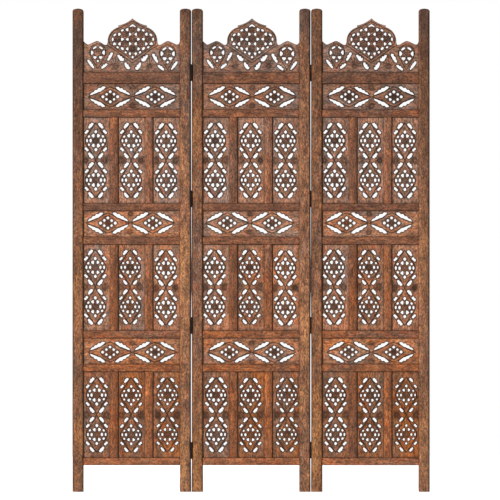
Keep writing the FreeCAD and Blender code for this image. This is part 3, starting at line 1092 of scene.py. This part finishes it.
def dress_panel(name, materials, sheets, hand):
    """Make the wooden pieces of one panel."""
    body = f"{name}_panel"
    middle_x, _ = opening_of(name)
    for side, look in post_looks.items():
        bow_side = 0 if side == name else {"left": -1, "right": 1}[side]
        softened_piece(f"{body}_{side}_post", f"{side}_post", [look], body, materials, hand,
                       bow_side)
    for number, look in enumerate(rail_looks, start=1):
        softened_piece(f"{body}_rail_{number}", "rail", [look], body, materials, hand)
    softened_piece(f"{body}_muntins", "muntin", muntin_looks, body, materials, hand)
    for storey in range(storeys):
        middle_z, _ = above_rail(name, 2 * storey + 1)
        boards = []
        for bay in range(bays):
            place = (middle_x + (bay - 1) * sheets["bay_pitch"], middle_z)
            number = bays * storey + bay
            boards.append((sheets["tall"][number], place, board_looks[number]))
        carved_piece(f"{body}_boards_{storey + 1}", boards, "z", body, materials, hand)
        middle_z, _ = above_rail(name, 2 * storey + 2)
        frieze = (sheets["frieze"][storey], (middle_x, middle_z), frieze_looks[storey])
        carved_piece(f"{body}_frieze_{storey + 1}", [frieze], "x", body, materials, hand)
    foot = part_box(f"{body}_rail_{2 * storeys + 1}")[1].z
    crest = (sheets["crest"], (middle_x, foot), crest_look)
    carved_piece(f"{body}_crest", [crest], "x", body, materials, hand)


def board_outline(node, middle_z, pitch=0.0):
    """Draw the outline of a node's board, in millimetres about a height.

    A pitch says how far apart the three boards of a tier are; the outline is then of one."""
    low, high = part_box(node)
    right = ((high.x - low.x) / 2 - pitch) / MM
    bottom, top = (low.z - middle_z) / MM, (high.z - middle_z) / MM
    return np.array([(-right, bottom), (right, bottom), (right, top), (-right, top)])


def frame_lines(right, bottom, top, sides=tuple(board_edge_stain_and_shade)):
    """Describe the darkening where a board meets its frame, on each of its sides: dark joints,
    painted shade cast by the frame, and a wide painted shade along the margin.
    """
    lines = {"left": [(-right, bottom), (-right, top)], "right": [(right, bottom), (right, top)],
             "lower": [(-right, bottom), (right, bottom)], "upper": [(-right, top), (right, top)]}
    cuts = []
    for side in sides:
        stain, reach = board_edge_stain_and_shade[side]
        cuts.append(groove(lines[side], 2 * reach, 0.0, stain=stain))
        cuts.append(groove(lines[side], 2 * margin_reach, 0.0, stain=margin_shade))
    return cuts


def carve_boards(node, rail, pitch, pattern, fits, seed, half_opening, half_depth):
    """Carve a pattern for each fit, for the opening above a rail of the middle panel.

    A pitch says how far apart the boards in one opening are."""
    middle_z, half_height = above_rail("centre", rail)
    half_height /= MM
    outline = board_outline(node, middle_z, pitch)
    border = frame_lines((half_opening - pitch) / MM, -half_height, half_height)
    boards = []
    for number, fit in enumerate(fits):
        holes, cuts = placed(*pattern, fit, random.Random(seed + number))
        boards.append(carve(outline, holes, cuts + border, half_depth))
    return boards


def carve_crest(half_opening, half_depth):
    """Carve the crest."""
    low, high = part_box("centre_panel_crest")
    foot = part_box(f"centre_panel_rail_{2 * storeys + 1}")[1].z
    post = half_opening / MM
    outline = crest_outline((high.x - low.x) / 2 / MM, post, (low.z - foot) / MM, crest_fit[0])
    holes, cuts = placed(crest_holes(), crest_cuts(), crest_fit, random.Random(crest_seed))
    cuts += frame_lines(post, 0.0, crest_side, ("left", "right", "lower"))
    cuts.append(groove(outline, crest_rim_width, 0.0, True, crest_rim_stain))
    return carve(counterclockwise(outline), holes, cuts, half_depth)


def carve_sheets():
    """Carve each kind of board once, from the places that the frame gives."""
    _, half_opening = opening_of("centre")
    muntins_low, muntins_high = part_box("centre_panel_muntins")
    bays_reach = (muntins_high.x - muntins_low.x) / 2
    muntin_width = (bays_reach - half_opening / bays) * bays / (bays - 1)
    bay_pitch = (2 * half_opening + muntin_width) / bays
    boards_low, boards_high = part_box("centre_panel_boards_1")
    half_depth = (boards_high.y - boards_low.y) / 2 / MM
    star_pitch = 2 * above_rail("centre", 1)[1] / MM * star_pitch_share
    rosette_pitch = 2 * half_opening / MM * rosette_pitch_share
    tall = carve_boards("centre_panel_boards_1", 1, bay_pitch, tall_board_pattern(star_pitch),
                        board_fits, board_seed, half_opening, half_depth)
    friezes = carve_boards("centre_panel_frieze_1", 2, 0.0, frieze_pattern(rosette_pitch),
                           frieze_fits, frieze_seed, half_opening, half_depth)
    return {"tall": tall, "frieze": friezes, "crest": carve_crest(half_opening, half_depth),
            "bay_pitch": bay_pitch}


# Setting

def add_camera():
    """Look straight at the front, in the photograph's frame."""
    data = bpy.data.cameras.new("camera")
    data.sensor_width = sensor_width
    data.lens = sensor_width * camera_distance / (photo_pixels * metres_per_pixel)
    data.clip_end = 3 * camera_distance
    camera = add_object("camera", data)
    camera.location = (photo_centre_x, cad_box[0][1] - camera_distance, photo_centre_z)
    camera.rotation_euler = (math.radians(90), 0, 0)
    bpy.context.scene.camera = camera


def add_key_light():
    """Add a soft square light, high on the left."""
    data = bpy.data.lights.new("key", "AREA")
    data.size = key_size
    data.energy = key_power
    light = add_object("key", data)
    light.location = key_place
    toward = Vector(key_target) - Vector(key_place)
    light.rotation_euler = toward.to_track_quat("-Z", "Y").to_euler()


def add_world():
    """Surround the scene with white, which lights it only softly."""
    world = bpy.data.worlds.new("white_surround")
    world.use_nodes = True
    tree = world.node_tree
    background = tree.nodes["Background"]
    background.inputs["Color"].default_value = (1, 1, 1, 1)
    seen = tree.nodes.new("ShaderNodeLightPath").outputs["Is Camera Ray"]
    strength = tree.nodes.new("ShaderNodeMapRange")
    strength.inputs["To Min"].default_value = fill_strength
    tree.links.new(seen, strength.inputs["Value"])
    tree.links.new(strength.outputs[0], background.inputs["Strength"])
    bpy.context.scene.world = world


def add_floor():
    """Lay a plain pale floor under the screen."""
    mesh = bpy.data.meshes.new("floor")
    drop = cad_box[0][2] - floor_gap
    corners = [(x * floor_reach, y * floor_reach, drop)
               for x, y in ((-1, -1), (1, -1), (1, 1), (-1, 1))]
    mesh.from_pydata(corners, [], [(0, 1, 2, 3)])
    mesh.materials.append(make_floor_material())
    floor = add_object("floor", mesh)


def make_materials():
    """Make every material of the screen."""
    streak = (56, 36, 27)
    return {
        "post_wood": make_wood(
            "post_wood", ((114, 87, 74), (132, 92, 69), (158, 112, 78), (138, 78, 56),
                          (118, 94, 70), streak, (50, 28, 17)), 0.11, 0.6, 0.55, (0.81, 0.78)),
        "rail_wood": make_wood(
            "rail_wood", ((118, 86, 70), (134, 90, 67), (156, 101, 72), (140, 76, 56),
                          (120, 88, 68), streak, (50, 28, 17)), 0.09, 0.35, 0.5, (1.0, 1.0)),
        "board_wood": make_wood(
            "board_wood", ((126, 102, 90), (136, 98, 77), (154, 102, 74), (146, 82, 62),
                           (124, 102, 78), streak, (45, 31, 23)), 0.08, 0.25, 0.35, (1.0, 1.0)),
        "iron": make_iron("iron"),
        "screw_steel": make_steel("screw_steel"),
    }


def main():
    """Dress the whole screen and set it in the studio."""
    materials = make_materials()
    sheets = carve_sheets()
    hand = random.Random(piece_seed)
    for name in panels:
        dress_panel(name, materials, sheets, hand)
    for name in ("left", "right"):
        dress_hinges(name, materials, hand)
    add_camera()
    add_world()
    add_floor()
    add_key_light()
    bpy.context.scene.view_settings.view_transform = "Standard"


main()
